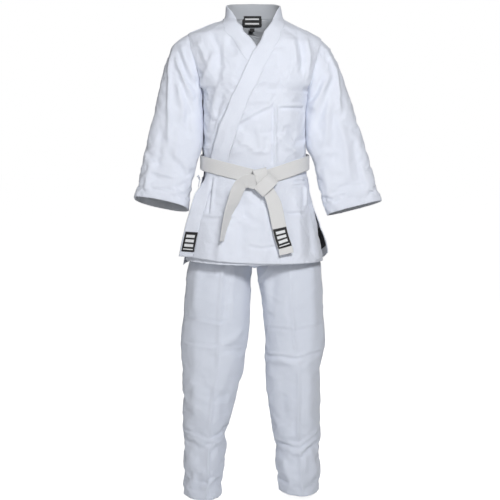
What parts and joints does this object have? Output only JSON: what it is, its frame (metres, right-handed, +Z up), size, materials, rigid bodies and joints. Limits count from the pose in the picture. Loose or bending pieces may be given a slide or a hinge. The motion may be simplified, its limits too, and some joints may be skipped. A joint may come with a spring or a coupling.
{
  "type": "martial arts uniform",
  "caption": "White karate uniform as worn: wrapped jacket with wide sleeves and side vents, knotted belt with two tails, and straight trousers.",
  "frame": {"origin": "middle of the neck opening at the height where the jacket rests on the wearer's shoulders", "axes": "+Z up, the wearer faces -Y, +X to the wearer's left"},
  "size_m": [0.698, 0.2973, 1.425],
  "materials": {
    "jacket_cotton": "bleached cotton drill",
    "band_cotton": "folded and stitched cotton drill",
    "belt_cotton": "rib-stitched cotton",
    "trouser_cotton": "bleached cotton drill",
    "woven_label": "woven polyester satin",
    "elastic_web": "knitted elastic webbing"
  },
  "bodies": {
    "jacket": {"left_front": "jacket_cotton", "right_front": "jacket_cotton", "left_collar_band": "band_cotton", "right_collar_band": "band_cotton", "back_collar": "band_cotton", "left_back": "jacket_cotton", "right_back": "jacket_cotton", "left_vent_patch": "jacket_cotton", "right_vent_patch": "jacket_cotton", "hem_patch": "woven_label", "side_tie_knot": "belt_cotton", "neck_label": "woven_label", "belt_inner_wrap": "belt_cotton", "belt_outer_wrap": "belt_cotton", "knot_core": "belt_cotton", "knot_wrap": "belt_cotton"},
    "left_sleeve_body": {"left_sleeve": "jacket_cotton", "left_cuff_hem": "jacket_cotton"},
    "right_sleeve_body": {"right_sleeve": "jacket_cotton", "right_cuff_hem": "jacket_cotton"},
    "back_skirt": {"left_back_skirt": "jacket_cotton", "right_back_skirt": "jacket_cotton", "vent_label": "woven_label"},
    "left_tail_body": {"left_tail": "belt_cotton", "tail_patch": "woven_label"},
    "right_tail_body": {"right_tail": "belt_cotton"},
    "size_tab_body": {"size_tab": "woven_label"},
    "trousers": {"left_seat_front": "trouser_cotton", "right_seat_front": "trouser_cotton", "right_seat_back": "trouser_cotton", "left_seat_back": "trouser_cotton", "waistband": "trouser_cotton", "waistband_lining": "trouser_cotton", "waist_elastic": "elastic_web", "crotch_gusset": "trouser_cotton"},
    "left_leg_body": {"left_leg": "trouser_cotton", "left_leg_hem": "trouser_cotton"},
    "right_leg_body": {"right_leg": "trouser_cotton", "right_leg_hem": "trouser_cotton"}
  },
  "joints": [
    {"name": "left_sleeve_lift", "type": "hinge", "parent": "jacket", "child": "left_sleeve_body", "pos_m": [0.189, 0, -0.056], "axis": [0, -1, 0], "range_deg": [0, 60]},
    {"name": "right_sleeve_lift", "type": "hinge", "parent": "jacket", "child": "right_sleeve_body", "pos_m": [-0.189, 0, -0.056], "axis": [0, 1, 0], "range_deg": [0, 60]},
    {"name": "back_skirt_lift", "type": "hinge", "parent": "jacket", "child": "back_skirt", "pos_m": [0, 0.11, -0.497], "axis": [1, 0, 0], "range_deg": [0, 25]},
    {"name": "left_tail_swing", "type": "hinge", "parent": "jacket", "child": "left_tail_body", "pos_m": [0.03, -0.1301, -0.5005], "axis": [-1, 0, 0], "range_deg": [0, 80]},
    {"name": "right_tail_swing", "type": "hinge", "parent": "jacket", "child": "right_tail_body", "pos_m": [-0.008, -0.1401, -0.487], "axis": [-1, 0, 0], "range_deg": [0, 80]},
    {"name": "size_tab_flap", "type": "hinge", "parent": "jacket", "child": "size_tab_body", "pos_m": [0, 0.0575, -0.029], "axis": [-1, 0, 0], "range_deg": [0, 80]},
    {"name": "trousers_drop", "type": "slide", "parent": "jacket", "child": "trousers", "axis": [0, 0, -1], "range_m": [0, 0.25]},
    {"name": "left_leg_swing", "type": "hinge", "parent": "trousers", "child": "left_leg_body", "pos_m": [0.1, 0.003, -0.692], "axis": [-1, 0, 0], "range_deg": [-20, 25]},
    {"name": "right_leg_swing", "type": "hinge", "parent": "trousers", "child": "right_leg_body", "pos_m": [-0.1, 0.003, -0.692], "axis": [-1, 0, 0], "range_deg": [-20, 25]}
  ]
}
